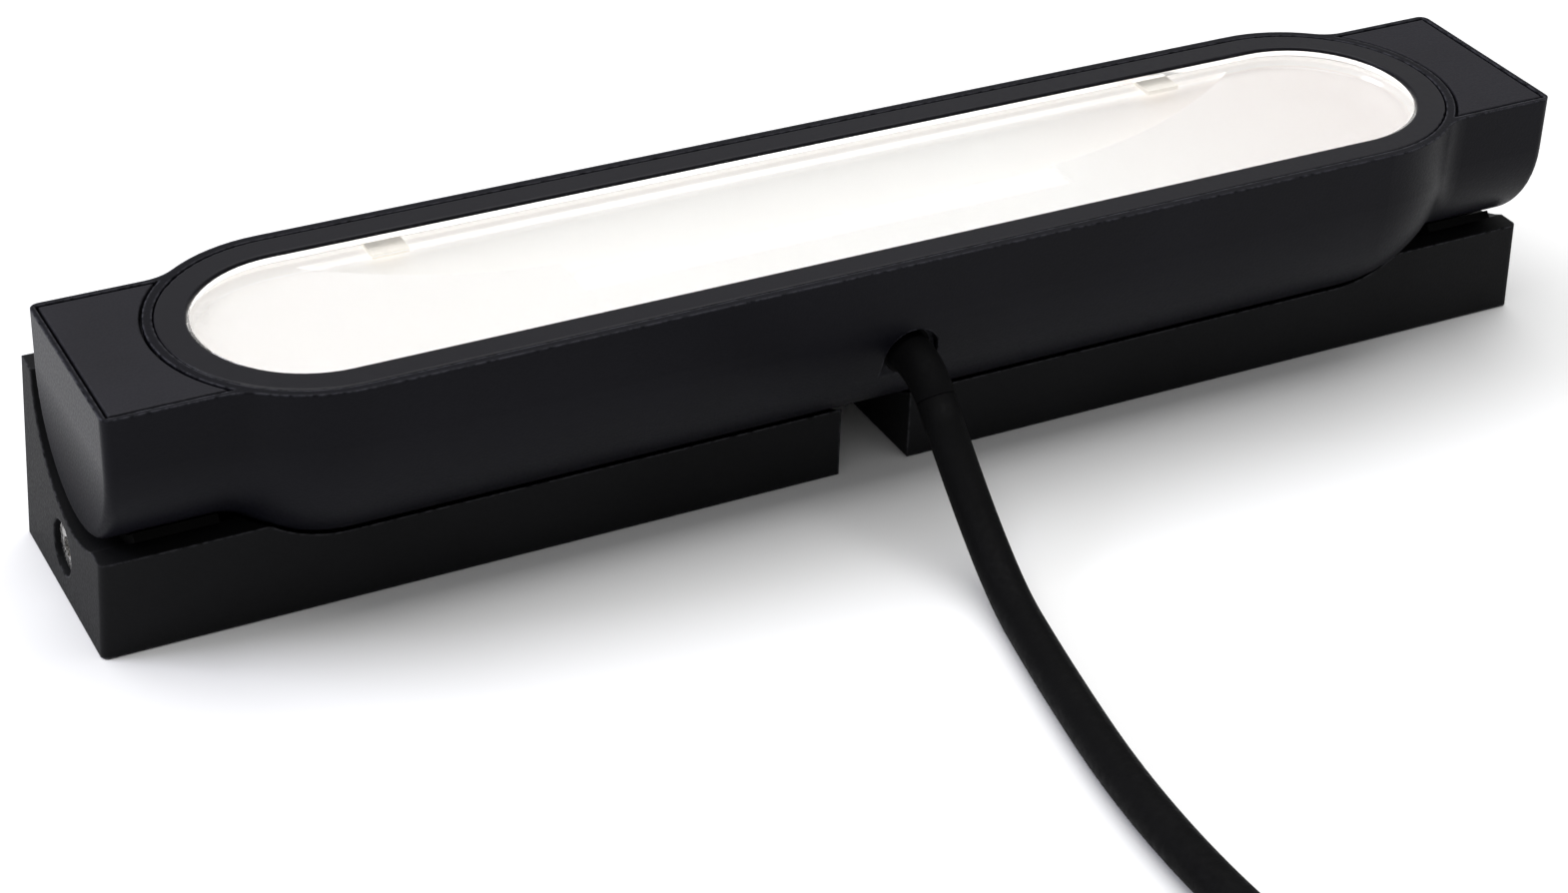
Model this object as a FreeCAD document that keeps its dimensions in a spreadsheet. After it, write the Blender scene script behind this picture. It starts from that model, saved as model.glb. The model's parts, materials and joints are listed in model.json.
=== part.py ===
"""Picture light: a half-round die-cast lamp head that tilts in a low cradle.

Millimetres, +Z up.  X runs along the lamp, -Y is the side where the cable
leaves, +Z is the side of the glass.  The origin lies on the surface that the
cradle is screwed to, midway between the two screw slots of the mounting
plate and straight below the tilt axis.
"""
import FreeCAD, Part
import math
import os
import re

import Sketcher
from FreeCAD import Placement, Rotation, Vector

doc = FreeCAD.newDocument("PictureLight")

# ---------------------------------------------------------------- dimensions

DIMENSIONS = {
    # lamp head, outside
    "head_length": 250.0,
    "wing_radius": 17.8,
    "bulge_radius": 24.3,
    "bulge_centre": 88.0,
    "bulge_blend": 8.0,
    "axis_height": 33.0,
    "head_top": 42.4,
    "end_round": 1.6,
    # lamp head, inside
    "cavity_radius": 20.6,
    "ledge_height": 37.4,
    "rim_inner": 22.9,
    "pocket_start": 112.4,
    "pocket_radius": 15.2,
    "end_wall": 2.4,
    "peg_inset": 5.0,
    "peg_half_gap": 11.5,
    "peg_radius": 1.2,
    "peg_length": 4.0,
    "peg_post_radius": 2.9,
    "cover_gap": 0.5,
    "cover_thick": 1.8,
    "cover_inset": 1.3,
    # window
    "frame_radius": 22.7,
    "frame_opening": 18.05,
    "frame_skirt": 20.8,
    "frame_screw_height": 38.85,
    "flange_height": 40.2,
    "glass_edge": 20.6,
    "glass_sight": 17.9,
    "glass_bottom": 37.6,
    "glass_flange": 39.4,
    "glass_top": 42.0,
    "clip_centre": 69.5,
    "clip_length": 6.0,
    "clip_reach": 15.5,
    "clip_thick": 0.7,
    # lamp and its carrier
    "lamp_height": 32.0,
    "lamp_radius": 3.7,
    "tube_half": 46.0,
    "cap_end": 57.4,
    "cap_radius": 3.4,
    "contact_radius": 1.3,
    "lamp_end": 58.6,
    "holder_depth": 12.0,
    "holder_half": 5.0,
    "holder_top": 35.7,
    "plunger_radius": 2.5,
    "plunger_length": 4.0,
    "plunger_travel": 1.5,
    "spring_end": 9.0,
    "carrier_top": 23.4,
    "carrier_thick": 1.5,
    "carrier_half": 6.5,
    "post_centre": 36.0,
    "post_radius": 3.5,
    "small_shank": 1.25,
    "small_clearance": 1.6,
    "foot_screw": 3.4,
    "foot_shank": 1.1,
    "foot_thick": 2.5,
    # reflector
    "reflector_skin": 0.8,
    "reflector_top": 36.6,
    "reflector_radius": 20.3,
    "trough_reach": 84.8,
    "opening_left": 47.0,
    "opening_right": 38.5,
    "opening_reach": 84.0,
    # cradle
    "base_length": 252.9,
    "base_front": 13.4,
    "base_back": 24.5,
    "wall_top": 30.75,
    "lip_top": 15.9,
    "end_draft": 1.3,
    "trough_radius": 19.4,
    "trough_bulge": 24.9,
    "shell_wall": 2.6,
    "cavity_half": 119.4,
    "dip_half": 104.0,
    "dip_top": 20.0,
    "notch_half": 6.2,
    "notch_back": 10.0,
    # mounting plate and end screws
    "plate_thick": 1.5,
    "plate_gap": 0.3,
    "slot_centre": 90.0,
    "slot_half_width": 2.25,
    "slot_length": 9.0,
    "end_screw_back": 5.5,
    "end_screw_height": 7.9,
    "end_screw_radius": 2.0,
    "end_recess_radius": 4.4,
    "end_recess_floor": 122.4,
    "end_head_radius": 3.7,
    "end_head_height": 2.9,
    "end_socket": 1.75,
    # tilt guide
    "guide_x": 112.5,
    "guide_angle": 10.0,
    "tilt_back": 20.0,
    "tilt_forward": 20.0,
    "liner_start": 107.5,
    "liner_end": 120.2,
    "liner_radius": 18.1,
    "screw_shank": 2.0,
    "slot_clearance": 0.3,
    "screw_head_radius": 3.9,
    "washer_radius": 4.3,
    "washer_thick": 1.0,
    "saddle_radius": 5.0,
    "saddle_thick": 1.7,
    "rivet_radius": 1.2,
    # terminal block under the lamp carrier
    "terminal_start": 9.0,
    "terminal_end": 28.0,
    "terminal_half": 7.5,
    "terminal_bottom": 14.6,
    "terminal_top": 21.4,
    "core_height": 17.6,
    "core_half_gap": 3.6,
    # cable
    "cable_radius": 3.1,
    "cable_height": 26.0,
    "channel_half": 4.7,
    "channel_face": 21.8,
    "boss_face": 18.6,
    "throat_radius": 4.0,
    "nut_radius": 5.6,
    "nut_thick": 2.6,
    "boot_root": 3.5,
    "boot_tip": 3.15,
    "boot_bend": 12.0,
    "boot_turn": 45.0,
    "coil_x": -48.0,
    "coil_y": -184.0,
    "coil_inner": 21.9,
    "coil_outer": 50.6,
    "coil_height": 12.4,
}

sheet = doc.addObject("Spreadsheet::Sheet", "Sizes")
for row, (alias, number) in enumerate(DIMENSIONS.items(), start=1):
    sheet.set(f"A{row}", alias)
    sheet.set(f"B{row}", str(number))
    sheet.setAlias(f"B{row}", alias)
doc.recompute()


def sized(text):
    """Rewrite every dimension's name in an expression as a cell of the sheet."""
    return re.sub(r"[a-z_]+", lambda word: "Sizes." + word.group()
                  if word.group() in DIMENSIONS else word.group(), str(text))


def size(alias):
    """The number that the sheet holds for a dimension."""
    return float(sheet.get(alias))


# ------------------------------------------------------------ building blocks

NODES = []
ALONG = {"x": Rotation(Vector(0, 1, 0), 90), "y": Rotation(Vector(1, 0, 0), -90),
         "z": Rotation()}


def node(shape_object, name):
    """Name a finished piece and keep it for export."""
    shape_object.Label = name
    NODES.append(shape_object)
    return shape_object


def at(thing, position):
    """Bind a piece's position to three expressions."""
    for axis, text in zip("xyz", position):
        thing.setExpression(f"Placement.Base.{axis}", sized(text))


def box(low, high):
    """Box between two corners, each given as three expressions."""
    solid = doc.addObject("Part::Box", "Box")
    for side, start, end in zip(("Length", "Width", "Height"), low, high):
        solid.setExpression(side, sized(f"({end}) - ({start})"))
    at(solid, low)
    return solid


def rod(radius, length, start, axis):
    """Cylinder of a length from a start point along +X, +Y or +Z."""
    solid = doc.addObject("Part::Cylinder", "Rod")
    solid.setExpression("Radius", sized(radius))
    solid.setExpression("Height", sized(length))
    solid.Placement = Placement(Vector(), ALONG[axis])
    at(solid, start)
    return solid


def ball(radius, centre):
    """Sphere about a centre."""
    solid = doc.addObject("Part::Sphere", "Ball")
    solid.setExpression("Radius", sized(radius))
    at(solid, centre)
    return solid


def spoke(radius, inner, outer, x, angle):
    """Rod pointing from the tilt axis outwards; angle 0 is straight down, plus is back."""
    solid = doc.addObject("Part::Cylinder", "Spoke")
    solid.setExpression("Radius", sized(radius))
    solid.setExpression("Height", sized(f"({outer}) - ({inner})"))
    solid.Placement = Placement(Vector(), Rotation(Vector(1, 0, 0), 90))
    solid.setExpression("Placement.Rotation.Angle", sized(f"180 + {angle}"))
    at(solid, (x, f"({inner}) * sin({angle})", f"axis_height - ({inner}) * cos({angle})"))
    return solid


def sector(radius, x_start, x_end, angle_start, angle_end):
    """Slice of a cylinder about the tilt axis, between two angles from straight down."""
    start = math.radians(angle_start)
    across = Vector(0, math.sin(start), -math.cos(start))
    around = Vector(0, math.cos(start), math.sin(start))
    solid = doc.addObject("Part::Cylinder", "Sector")
    solid.setExpression("Radius", sized(radius))
    solid.setExpression("Height", sized(f"({x_end}) - ({x_start})"))
    solid.Angle = angle_end - angle_start
    solid.Placement = Placement(Vector(), Rotation(across, around, Vector(1, 0, 0), "ZXY"))
    at(solid, (x_start, "0", "axis_height"))
    return solid


def fuse(*pieces):
    """Several pieces joined into one."""
    joined = doc.addObject("Part::MultiFuse", "Joined")
    joined.Shapes = list(pieces)
    joined.Refine = True
    return joined


def cut(piece, *tools):
    """Take one or more tools away from a piece."""
    result = doc.addObject("Part::Cut", "Cut")
    result.Base = piece
    result.Tool = tools[0] if len(tools) == 1 else fuse(*tools)
    result.Refine = True
    return result


def common(*pieces):
    """The space that all the pieces share."""
    shared = doc.addObject("Part::MultiCommon", "Shared")
    shared.Shapes = list(pieces)
    return shared


def group(*pieces):
    """Several separate solids kept as one piece."""
    bundle = doc.addObject("Part::Compound", "Group")
    bundle.Links = list(pieces)
    return bundle


def finish_edges(piece, kind, amount, wanted):
    """Fillet or chamfer the edges of a piece that pass a test."""
    doc.recompute()
    if piece.TypeId in ("Part::Box", "Part::Cylinder"):
        feature = doc.addObject(f"Part::{kind}", kind)
        feature.Base = piece
        width = float(amount)
        feature.Edges = [(index, width, width) for index in edge_numbers(piece, wanted)]
        doc.recompute()
        return feature
    if piece.TypeId == "PartDesign::Body":
        body = piece
    else:
        body = doc.addObject("PartDesign::Body", "Body")
        body.BaseFeature = piece
        doc.recompute()
    base = body.Tip
    feature = body.newObject(f"PartDesign::{kind}", kind)
    feature.Base = (base, [f"Edge{index}" for index in edge_numbers(base, wanted)])
    feature.setExpression("Radius" if kind == "Fillet" else "Size", sized(amount))
    doc.recompute()
    return body


def edge_numbers(piece, wanted):
    """Numbers of the edges that pass a test; none at all is an error."""
    numbers = [index for index, edge in enumerate(piece.Shape.Edges, start=1) if wanted(edge)]
    if not numbers:
        raise RuntimeError(f"no edge of {piece.Label} passes the test")
    return numbers


def origin_plane(body, role):
    """The plane of a body's own origin that has a role, such as XY_Plane."""
    return next(plane for plane in body.Origin.OriginFeatures if plane.Role == role)


def level_sketch(body, height):
    """Sketch parallel to the XY plane at a height given as an expression."""
    sketch = body.newObject("Sketcher::SketchObject", "Outline")
    sketch.AttachmentSupport = [(origin_plane(body, "XY_Plane"), "")]
    sketch.MapMode = "FlatFace"
    sketch.setExpression("AttachmentOffset.Base.z", sized(height))
    return sketch


def draw_stadium(sketch, radius):
    """Racetrack outline about the origin, its round ends on the bulge centres."""
    half, reach = size("bulge_centre"), size("frame_radius")
    top = sketch.addGeometry(Part.LineSegment(Vector(-half, reach, 0), Vector(half, reach, 0)))
    right = sketch.addGeometry(Part.ArcOfCircle(
        Part.Circle(Vector(half, 0, 0), Vector(0, 0, 1), reach), -math.pi / 2, math.pi / 2))
    bottom = sketch.addGeometry(Part.LineSegment(Vector(half, -reach, 0), Vector(-half, -reach, 0)))
    left = sketch.addGeometry(Part.ArcOfCircle(
        Part.Circle(Vector(-half, 0, 0), Vector(0, 0, 1), reach), math.pi / 2, 3 * math.pi / 2))
    start, end, centre, origin, x_axis = 1, 2, 3, -1, -1
    rules = [
        ("Tangent", top, end, right, end),
        ("Tangent", right, start, bottom, start),
        ("Tangent", bottom, end, left, end),
        ("Tangent", left, start, top, start),
        ("Horizontal", top),
        ("PointOnObject", right, centre, x_axis),
        ("Symmetric", left, centre, right, centre, origin, start),
    ]
    for rule in rules:
        sketch.addConstraint(Sketcher.Constraint(*rule))
    sized_rules = (("round", ("Radius", right, reach), radius),
                   ("reach", ("DistanceX", origin, start, right, centre, half), "bulge_centre"))
    for name, rule, expression in sized_rules:
        index = sketch.addConstraint(Sketcher.Constraint(*rule))
        sketch.renameConstraint(index, name)
        sketch.setExpression(f"Constraints.{name}", sized(expression))


def stadium_step(body, kind, radius, bottom, top):
    """Pad or pocket a racetrack between two heights; pockets cut downwards from the top."""
    sketch = level_sketch(body, bottom if kind == "Pad" else top)
    draw_stadium(sketch, radius)
    step = body.newObject(f"PartDesign::{kind}", kind)
    step.Profile = sketch
    step.setExpression("Length", sized(f"({top}) - ({bottom})"))
    doc.recompute()


def stadium_body(*steps):
    """Body made of racetrack pads and pockets: (kind, radius, bottom, top) each."""
    body = doc.addObject("PartDesign::Body", "Body")
    for step in steps:
        stadium_step(body, *step)
    return body


def capsule(radius):
    """Round bar along the tilt axis with a ball on each bulge centre."""
    return fuse(rod(radius, "2 * bulge_centre", ("-bulge_centre", "0", "axis_height"), "x"),
                ball(radius, ("bulge_centre", "0", "axis_height")),
                ball(radius, ("-bulge_centre", "0", "axis_height")))


def racetrack(radius, bottom, top):
    """Upright racetrack block between two heights."""
    height = f"({top}) - ({bottom})"
    return fuse(box(("-bulge_centre", f"-({radius})", bottom), ("bulge_centre", radius, top)),
                rod(radius, height, ("bulge_centre", "0", bottom), "z"),
                rod(radius, height, ("-bulge_centre", "0", bottom), "z"))


def full_bar(radius, half_length):
    """Round bar about the tilt axis, centred on the middle of the lamp."""
    return rod(radius, f"2 * ({half_length})", (f"-({half_length})", "0", "axis_height"), "x")


SIDES = (("left", -1), ("right", 1))


def span(side, near, far):
    """The X limits, low first, of something between two distances out from the middle."""
    return (near, far) if side > 0 else (f"-({far})", f"-({near})")


# ------------------------------------------------------------------- lamp head

def make_head_housing():
    """Half-round casting: a bulge with ball-shaped ends between two narrower wings."""
    wings = fuse(full_bar("wing_radius", "head_length / 2"),
                 box(("-head_length / 2", "-wing_radius", "axis_height"),
                     ("head_length / 2", "wing_radius", "head_top")))
    outside = cut(fuse(wings, capsule("bulge_radius"),
                       racetrack("bulge_radius", "axis_height", "head_top")),
                  box(("-head_length", "-2 * bulge_radius", "head_top"),
                      ("head_length", "2 * bulge_radius", "3 * head_top")))
    junction = size("bulge_centre") + math.sqrt(size("bulge_radius") ** 2
                                                - size("wing_radius") ** 2)
    blended = finish_edges(outside, "Fillet", "bulge_blend", lambda edge: all(
        abs(abs(vertex.X) - junction) < 0.01 for vertex in edge.Vertexes)
        and edge.BoundBox.XLength < 0.01)
    half_length, top = size("head_length") / 2, size("head_top")
    blended = finish_edges(blended, "Fillet", "end_round", lambda edge: all(
        abs(abs(vertex.X) - half_length) < 0.01 for vertex in edge.Vertexes)
        and edge.BoundBox.ZMin < top - 0.1)

    hollow = [capsule("cavity_radius"),
              racetrack("cavity_radius", "axis_height", "head_top + 1"),
              racetrack("rim_inner", "ledge_height", "head_top + 1")]
    hollow += [box((f"{x} - clip_length / 2 - 0.3", "-rim_inner + 0.2",
                    "ledge_height - clip_thick - 0.2"),
                   (f"{x} + clip_length / 2 + 0.3", "rim_inner - 0.2", "ledge_height"))
               for x in ("clip_centre", "-clip_centre")]
    for _, side in SIDES:
        low, high = span(side, "pocket_start", "head_length / 2 - end_wall")
        pocket = fuse(rod("pocket_radius", f"({high}) - ({low})", (low, "0", "axis_height"), "x"),
                      box((low, "-pocket_radius", "axis_height"),
                          (high, "pocket_radius", "head_top")))
        boss = spoke("2.3 * screw_shank", "8", "wing_radius - 1", f"{side} * guide_x",
                     "guide_angle")
        pegs = [(f"{side} * (head_length / 2 - peg_inset)", f"{y} * peg_half_gap")
                for y in (-1, 1)]
        peg_posts = [rod("peg_post_radius", "head_top", peg + ("0",), "z") for peg in pegs]
        hollow.append(cut(pocket, boss, *peg_posts))
        hollow += [rod("peg_radius", "cover_thick + peg_length + 0.3",
                       peg + ("head_top - cover_thick - peg_length - 0.3",), "z")
                   for peg in pegs]
        low, high = span(side, "bulge_centre", "head_length / 2 - cover_inset + cover_gap")
        recess = box((low, "-wing_radius + cover_inset - cover_gap", "head_top - cover_thick"),
                     (high, "wing_radius - cover_inset + cover_gap", "head_top + 1"))
        hollow.append(cut(recess, rod("bulge_radius", "head_top",
                                      (f"{side} * bulge_centre", "0", "0"), "z")))
        hollow.append(spoke("screw_shank", "4", "wing_radius + 1", f"{side} * guide_x",
                            "guide_angle"))
        low, high = span(side, "bulge_centre + frame_skirt", "pocket_start + 1")
        hollow.append(rod("small_shank", f"({high}) - ({low})", (low, "0", "frame_screw_height"),
                          "x"))
        low, high = span(side, "pocket_start - 6", "pocket_start + 1")
        hollow.append(box((low, "-5", "axis_height - 6"), (high, "5", "axis_height - 2")))
    shell = cut(blended, *hollow)

    inside_boss = common(box(("-9", "-cavity_radius - 0.3", "cable_height - 6.5"),
                             ("9", "-boss_face", "cable_height + 6.5")),
                         capsule("cavity_radius + 0.2"))
    posts = [common(rod("post_radius", "carrier_top - carrier_thick - 10",
                        (f"{side} * post_centre", "0", "10"), "z"),
                    capsule("cavity_radius + 0.2")) for _, side in SIDES]
    channel = fuse(box(("-channel_half", "-2 * bulge_radius", "15"),
                       ("channel_half", "-channel_face", "cable_height")),
                   rod("channel_half", "2 * bulge_radius - channel_face",
                       ("0", "-2 * bulge_radius", "cable_height"), "y"))
    cable_hole = rod("throat_radius", "channel_face", ("0", "-bulge_radius - 2", "cable_height"), "y")
    nut_seat = rod("nut_radius + 0.6", "4", ("0", "-boss_face", "cable_height"), "y")
    threads = [rod("small_shank", "9", (f"{side} * post_centre", "0", "carrier_top - 10"), "z")
               for _, side in SIDES]
    return node(cut(fuse(shell, inside_boss, *posts), channel, cable_hole, nut_seat, *threads),
                "head_housing")


def make_window_frame():
    """Flat ring with a skirt that stands on the ledge of the housing."""
    ring = stadium_body(("Pad", "frame_radius", "ledge_height", "head_top"),
                        ("Pocket", "frame_opening", "ledge_height", "head_top"),
                        ("Pocket", "frame_skirt", "ledge_height", "flange_height"))
    top = size("head_top")
    edge_round = finish_edges(ring, "Fillet", "0.35", lambda edge:
                              edge.BoundBox.ZMin > top - 0.01)
    holes = [rod("small_shank", "8", (f"{side} * (bulge_centre + frame_radius) - 4", "0",
                                      "frame_screw_height"), "x") for _, side in SIDES]
    node(cut(edge_round, *holes), "window_frame")


def make_window_glass():
    """Satin pane whose raised middle fills the opening of the frame."""
    pane = stadium_body(("Pad", "glass_edge", "glass_bottom", "glass_flange"),
                        ("Pad", "glass_sight", "glass_flange", "glass_top"))
    top = size("glass_top")
    node(finish_edges(pane, "Chamfer", "0.3", lambda edge: edge.BoundBox.ZMin > top - 0.01),
         "window_glass")


def make_glass_gasket():
    node(stadium_body(("Pad", "glass_edge", "glass_flange", "flange_height"),
                      ("Pocket", "glass_sight + 0.6", "glass_flange", "flange_height")),
         "glass_gasket")


def make_glass_clips():
    """Four leaf clips under the skirt that press the pane up against the gasket."""
    clips = []
    for _, side in SIDES:
        for low, high in (("-rim_inner + 1", "-clip_reach"), ("clip_reach", "rim_inner - 1")):
            clips.append(box((f"{side} * clip_centre - clip_length / 2", low,
                              "ledge_height - clip_thick"),
                             (f"{side} * clip_centre + clip_length / 2", high, "ledge_height")))
    node(group(*clips), "glass_clips")


def make_wing_covers():
    for word, side in SIDES:
        low, high = span(side, "bulge_centre", "head_length / 2 - cover_inset")
        plate = box((low, "-wing_radius + cover_inset", "head_top - cover_thick"),
                    (high, "wing_radius - cover_inset", "head_top"))
        plate = cut(plate, rod("bulge_radius + cover_gap", "head_top * 2",
                               (f"{side} * bulge_centre", "0", "0"), "z"))
        pegs = [rod("peg_radius", "cover_thick + peg_length - 0.5",
                    (f"{side} * (head_length / 2 - peg_inset)", f"{y} * peg_half_gap",
                     "head_top - cover_thick - peg_length"), "z") for y in (-1, 1)]
        cover = fuse(plate, *pegs)
        top = size("head_top")
        node(finish_edges(cover, "Chamfer", "0.12", lambda edge:
                          edge.BoundBox.ZMin > top - 0.01), f"wing_cover_{word}")


def make_frame_screws():
    """One screw in each wing pocket, running inwards into the frame's skirt."""
    screws = []
    for _, side in SIDES:
        low, high = span(side, "bulge_centre + frame_skirt", "pocket_start")
        shank = rod("small_shank", f"({high}) - ({low})", (low, "0", "frame_screw_height"), "x")
        low, high = span(side, "pocket_start", "pocket_start + 1.6")
        head = rod("small_shank + 0.45", f"({high}) - ({low})", (low, "0", "frame_screw_height"), "x")
        screws.append(fuse(shank, head))
    node(group(*screws), "frame_screws")


# ------------------------------------------------- reflector, lamp and wiring

# section of the trough, back rim to front rim: (y, z) down the outside, then up the inside
TROUGH_OUTSIDE = ((19.2, 35.8), (9.8, 30.2), (7.2, 26.0), (6.9, 23.5), (-6.9, 23.5), (-6.9, 35.8))
TROUGH_INSIDE = ((-6.1, 35.8), (-6.1, 24.3), (6.1, 24.3), (6.5, 26.4), (9.3, 31.0), (17.6, 35.8))


def opening_outline():
    """Opening of the cover plate: wide at the back rim, drawn in by an arc at each end.

    It covers more of the lamp on the right than on the left.
    """
    front, rim, bow = -6.1, 17.9, (70.0, 9.3)
    reach = size("opening_reach")
    left_end, left_waist = -size("opening_left"), 3.0
    right_end, right_waist = size("opening_right"), 0.6
    left = [Vector(left_end, left_waist, 0), Vector(-bow[0], bow[1], 0), Vector(-reach, rim, 0)]
    right = [Vector(right_end, right_waist, 0), Vector(*bow, 0), Vector(reach, rim, 0)]
    corners = [left[0], Vector(left_end, front, 0), Vector(right_end, front, 0), right[0]]
    return Part.Wire([Part.makePolygon(corners).Edges[index] for index in range(3)]
                     + [Part.Arc(*right).toShape(), Part.makeLine(right[-1], left[-1]),
                        Part.Arc(*reversed(left)).toShape()])


def make_reflector():
    """White trough round the lamp, under a rimmed cover plate that hides the lampholders."""
    end = size("trough_reach")
    section = [Vector(-end, y, z) for y, z in TROUGH_OUTSIDE + TROUGH_INSIDE]
    trough = doc.addObject("Part::Feature", "Trough")
    trough.Shape = Part.Face(Part.makePolygon(section + section[:1])).extrude(
        Vector(2 * end, 0, 0))
    opening = doc.addObject("Part::Feature", "Opening")
    opening.Shape = Part.Face(opening_outline()).extrude(Vector(0, 0, 2 * size("head_top")))
    plate = cut(racetrack("reflector_radius", "reflector_top - reflector_skin",
                          "ledge_height - 0.1"),
                racetrack("reflector_radius - reflector_skin", "reflector_top", "ledge_height"),
                opening)

    cutouts = []
    for _, side in SIDES:
        low, high = span(side, "clip_centre - clip_length / 2 - 0.3",
                         "clip_centre + clip_length / 2 + 0.3")
        cutouts.append(box((low, "-rim_inner", "reflector_top"),
                           (high, "rim_inner", "ledge_height")))
        low, high = span(side, "lamp_end - 0.6", "lamp_end + holder_depth + 6.4")
        cutouts.append(box((low, "-holder_half - 0.4", "carrier_top"),
                           (high, "holder_half + 0.4", "carrier_top + 2")))
        middle = f"{side} * (lamp_end + holder_depth / 2)"
        near, far = ("0", "10.6") if side > 0 else ("-10.6", "0")
        cutouts.append(box((f"{middle} - 1.4", near, "carrier_top - 1"),
                           (f"{middle} + 1.4", far, "carrier_top + 4")))
        cutouts.append(rod("small_clearance", "4", (f"{side} * post_centre", "0",
                                                    "carrier_top - 1"), "z"))
    node(cut(fuse(trough, plate), *cutouts), "reflector")


def make_lamp_carrier():
    """Steel strip on two posts that carries the reflector and both lampholders."""
    reach = "lamp_end + holder_depth + 7"
    strip = box((f"-({reach})", "-carrier_half", "carrier_top - carrier_thick"),
                (reach, "carrier_half", "carrier_top"))
    holes = [rod("small_clearance", "4", (f"{side} * post_centre", "0", "carrier_top - 3"), "z")
             for _, side in SIDES]
    holes += [rod("foot_shank", "4", (f"{side} * (lamp_end + holder_depth + foot_screw)", "0",
                                      "carrier_top - 3"), "z") for _, side in SIDES]
    node(cut(strip, *holes), "lamp_carrier")


def pan_screw(x, y, seat, shank_radius, head_radius, head_height, length):
    """Upright screw whose head sits on a seat height."""
    return fuse(rod(shank_radius, length, (x, y, f"({seat}) - ({length})"), "z"),
                rod(head_radius, head_height, (x, y, seat), "z"))


def make_carrier_screws():
    node(group(*[pan_screw(f"{side} * post_centre", "0", "carrier_top + 0.9",
                           "small_shank", "2.6", "1.6", "7.9") for _, side in SIDES]),
         "carrier_screws")


def make_holder_screws():
    node(group(*[pan_screw(f"{side} * (lamp_end + holder_depth + foot_screw)", "0",
                           "carrier_top + foot_thick", "foot_shank", "1.9", "1.2", "5")
                 for _, side in SIDES]),
         "holder_screws")


def make_lamp():
    """Double-ended linear lamp: a glass tube with a ceramic cap and a contact at each end."""
    tube = rod("lamp_radius", "2 * tube_half", ("-tube_half", "0", "lamp_height"), "x")
    half = size("tube_half")
    node(finish_edges(tube, "Fillet", "2.2", lambda edge:
                      abs(abs(edge.BoundBox.Center.x) - half) < 0.01), "lamp_tube")
    caps, contacts = [], []
    for _, side in SIDES:
        low, high = span(side, "tube_half", "cap_end")
        caps.append(rod("cap_radius", f"({high}) - ({low})", (low, "0", "lamp_height"), "x"))
        low, high = span(side, "cap_end", "lamp_end")
        contacts.append(rod("contact_radius", f"({high}) - ({low})",
                            (low, "0", "lamp_height"), "x"))
    node(group(*caps), "lamp_caps")
    node(group(*contacts), "lamp_contacts")


def make_lampholders():
    """Ceramic block at each end of the lamp, bored for a sprung contact plunger."""
    for word, side in SIDES:
        low, high = span(side, "lamp_end + 0.3", "lamp_end + holder_depth")
        block = box((low, "-holder_half", "carrier_top"), (high, "holder_half", "holder_top"))
        foot_low, foot_high = span(side, "lamp_end + holder_depth - 1",
                                   "lamp_end + holder_depth + 6")
        foot = box((foot_low, "-holder_half", "carrier_top"),
                   (foot_high, "holder_half", "carrier_top + foot_thick"))
        bore_low, bore_high = span(side, "lamp_end", "lamp_end + spring_end")
        bore = rod("plunger_radius + 0.05", f"({bore_high}) - ({bore_low})",
                   (bore_low, "0", "lamp_height"), "x")
        screw_hole = rod("foot_shank", "4",
                         (f"{side} * (lamp_end + holder_depth + foot_screw)", "0",
                          "carrier_top - 0.5"), "z")
        node(cut(fuse(block, foot), bore, screw_hole), f"lampholder_{word}")


def make_plungers():
    """Contact that a coil spring pushes against the end of the lamp."""
    for word, side in SIDES:
        low, high = span(side, "lamp_end", "lamp_end + plunger_length")
        node(rod("plunger_radius", f"({high}) - ({low})", (low, "0", "lamp_height"), "x"),
             f"contact_plunger_{word}")
        low, high = span(side, "lamp_end + plunger_length + 0.05", "lamp_end + spring_end")
        spring = cut(rod("plunger_radius - 0.4", f"({high}) - ({low})",
                         (low, "0", "lamp_height"), "x"),
                     rod("plunger_radius - 1", f"({high}) - ({low}) + 2", (f"{low} - 1", "0", "lamp_height"), "x"))
        node(spring, f"contact_spring_{word}")


CLAMPS = [(x, f"{row} * core_half_gap") for x in ("terminal_start + 4", "terminal_end - 4")
          for row in (-1, 1)]


def make_terminal_block():
    """Two-way terminal below the carrier, with four clamp screws."""
    block = box(("terminal_start", "-terminal_half", "terminal_bottom"),
                ("terminal_end", "terminal_half", "terminal_top"))
    entries = [rod("1.7", "terminal_end - terminal_start + 1",
                   ("terminal_start - 0.5", f"{row} * core_half_gap", "core_height"), "x")
               for row in (-1, 1)]
    wells = [rod("1.5", "5", clamp + ("core_height",), "z") for clamp in CLAMPS]
    node(cut(block, *entries, *wells), "terminal_block")
    node(group(*[rod("1.45", "1.6", clamp + ("terminal_top - 2",), "z") for clamp in CLAMPS]),
         "terminal_screws")


# ----------------------------------------------------------- cables and leads

def smooth_route(points):
    """Straight runs joined by tangent arcs as large as their two runs allow."""
    points = [Vector(*point) for point in points]
    edges, here, bends = [], points[0], []
    for index in range(1, len(points) - 1):
        before, corner, after = points[index - 1], points[index], points[index + 1]
        inward, outward = (corner - before), (after - corner)
        turn = inward.getAngle(outward)
        shorter = min(inward.Length, outward.Length)
        radius = 0.45 * shorter / math.tan(turn / 2)
        bends.append(radius)
        reach = radius * math.tan(turn / 2)
        inward.normalize()
        outward.normalize()
        arc_start, arc_end = corner - inward * reach, corner + outward * reach
        to_centre = (outward - inward).normalize()
        middle = corner + to_centre * (radius / math.cos(turn / 2) - radius)
        edges.append(Part.LineSegment(here, arc_start).toShape())
        edges.append(Part.Arc(arc_start, middle, arc_end).toShape())
        here = arc_end
    edges.append(Part.LineSegment(here, points[-1]).toShape())
    return Part.Wire(edges), bends


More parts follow.
